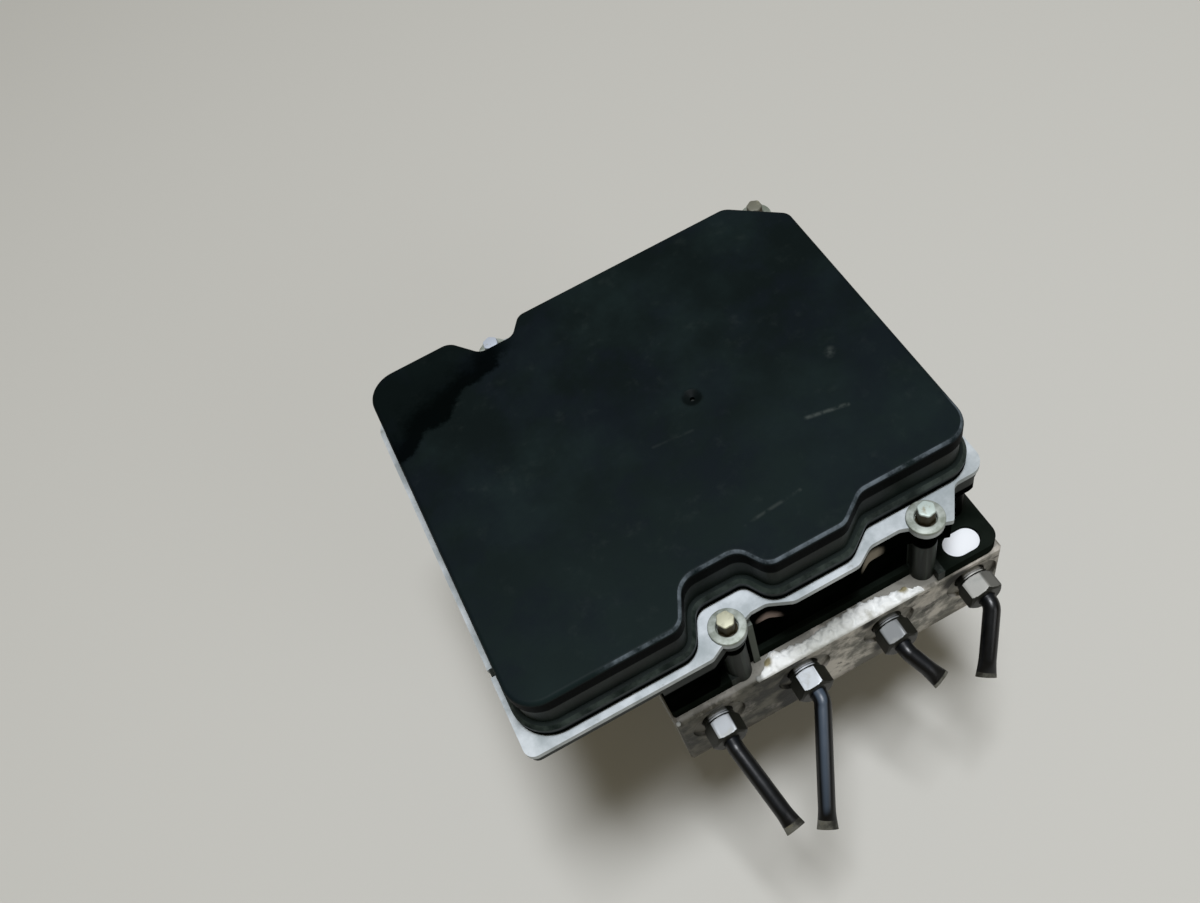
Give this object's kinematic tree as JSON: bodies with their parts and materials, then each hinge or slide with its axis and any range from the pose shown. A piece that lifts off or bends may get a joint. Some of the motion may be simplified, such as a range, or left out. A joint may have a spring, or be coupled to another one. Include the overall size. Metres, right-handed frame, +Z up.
{
  "type": "abs brake module",
  "caption": "Hydraulic valve block with electronic control unit on top, pump motor below and cut brake pipes on its front.",
  "frame": {"origin": "centre of the pump motor's flat end, which the unit stands on, on the motor's axis", "axes": "+X along the row of pipe ports, -Y out of the pipe ports, +Z up along the motor's axis to the lid"},
  "size_m": [0.1439, 0.1685, 0.143],
  "materials": {
    "block_aluminium": "cast-grey aluminium, stained and corroded",
    "board": "green resin board",
    "brush_plastic": "brown phenolic plastic",
    "bush_metal": "dull bush",
    "can_steel": "black painted steel can",
    "cap_steel": "pressed steel cap",
    "carbon": "carbon",
    "coil_mould": "moulded coil body",
    "frame_plastic": "dull dark grey moulded wall",
    "housing_plastic": "dark grey moulded housing",
    "inner_aluminium": "turned aluminium",
    "inner_steel": "ground steel",
    "lid_plastic": "matte black lid, scuffed and dusty",
    "magnet": "dark ferrite",
    "membrane": "white porous membrane",
    "nut_zinc": "bright zinc plated",
    "pin_brass": "tinned brass",
    "pipe_coat": "black plastic coat, bare steel at the cut end",
    "plate_aluminium": "satin aluminium sheet",
    "plug_steel": "turned steel plug",
    "screw_zinc": "zinc plated screw",
    "seal_rubber": "black rubber",
    "spring_steel": "spring steel",
    "valve_steel": "turned steel",
    "winding_copper": "copper"
  },
  "bodies": {
    "unit": {"accumulator_cap_left": "cap_steel", "accumulator_cap_right": "cap_steel", "accumulator_spring_left": "spring_steel", "accumulator_spring_right": "spring_steel", "base_seal": "seal_rubber", "brake_pipe_1": "pipe_coat", "brake_pipe_2": "pipe_coat", "brake_pipe_3": "pipe_coat", "brake_pipe_4": "pipe_coat", "brush_left": "carbon", "brush_plate": "brush_plastic", "brush_right": "carbon", "carrier_plate": "plate_aluminium", "circuit_board": "board", "coil_1": "coil_mould", "coil_2": "coil_mould", "coil_3": "coil_mould", "coil_4": "coil_mould", "coil_5": "coil_mould", "coil_6": "coil_mould", "coil_7": "coil_mould", "coil_8": "coil_mould", "coil_housing": "housing_plastic", "connector_pins": "pin_brass", "ecu_screws": "screw_zinc", "frame_seal": "seal_rubber", "hydraulic_block": "block_aluminium", "lid": "lid_plastic", "lower_bearing": "inner_steel", "motor_can": "can_steel", "motor_leads": "pin_brass", "motor_screws": "screw_zinc", "pump_plug_left": "plug_steel", "pump_plug_right": "plug_steel", "ring_magnet": "magnet", "screw_bushes": "bush_metal", "tube_nut_1": "nut_zinc", "tube_nut_2": "nut_zinc", "tube_nut_3": "nut_zinc", "tube_nut_4": "nut_zinc", "upper_bearing": "inner_steel", "upper_frame": "frame_plastic", "valve_1": "valve_steel", "valve_2": "valve_steel", "valve_3": "valve_steel", "valve_4": "valve_steel", "valve_5": "valve_steel", "valve_6": "valve_steel", "valve_7": "valve_steel", "valve_8": "valve_steel", "vent_membrane": "membrane"},
    "rotor": {"motor_shaft": "inner_steel", "rotor_core": "inner_steel", "rotor_winding": "winding_copper", "commutator": "winding_copper"},
    "drive_ring": {"eccentric_ring": "inner_steel"},
    "left_pump_piston": {"pump_piston_left": "inner_steel"},
    "right_pump_piston": {"pump_piston_right": "inner_steel"},
    "left_accumulator_piston": {"accumulator_piston_left": "inner_aluminium"},
    "right_accumulator_piston": {"accumulator_piston_right": "inner_aluminium"}
  },
  "joints": [
    {"name": "rotor_spin", "type": "hinge", "parent": "unit", "child": "rotor", "pos_m": [0, 0, 0], "axis": [0, 0, 1], "continuous": true},
    {"name": "drive_ring_spin", "type": "hinge", "parent": "rotor", "child": "drive_ring", "pos_m": [0, 0.0012, 0.072], "axis": [0, 0, 1], "continuous": true},
    {"name": "left_pump_stroke", "type": "slide", "parent": "unit", "child": "left_pump_piston", "axis": [-1, 0, 0], "range_m": [0, 0.0024]},
    {"name": "right_pump_stroke", "type": "slide", "parent": "unit", "child": "right_pump_piston", "axis": [1, 0, 0], "range_m": [0, 0.0024]},
    {"name": "left_accumulator_stroke", "type": "slide", "parent": "unit", "child": "left_accumulator_piston", "axis": [0, 1, 0], "range_m": [0, 0.006], "stiffness_N_per_m": 2000, "springref_m": -0.004, "deforming": ["accumulator_spring_left"]},
    {"name": "right_accumulator_stroke", "type": "slide", "parent": "unit", "child": "right_accumulator_piston", "axis": [0, 1, 0], "range_m": [0, 0.006], "stiffness_N_per_m": 2000, "springref_m": -0.004, "deforming": ["accumulator_spring_right"]}
  ],
  "couplings": [
    {"joint": "drive_ring_spin", "follows": "rotor_spin", "ratio": -1}
  ]
}
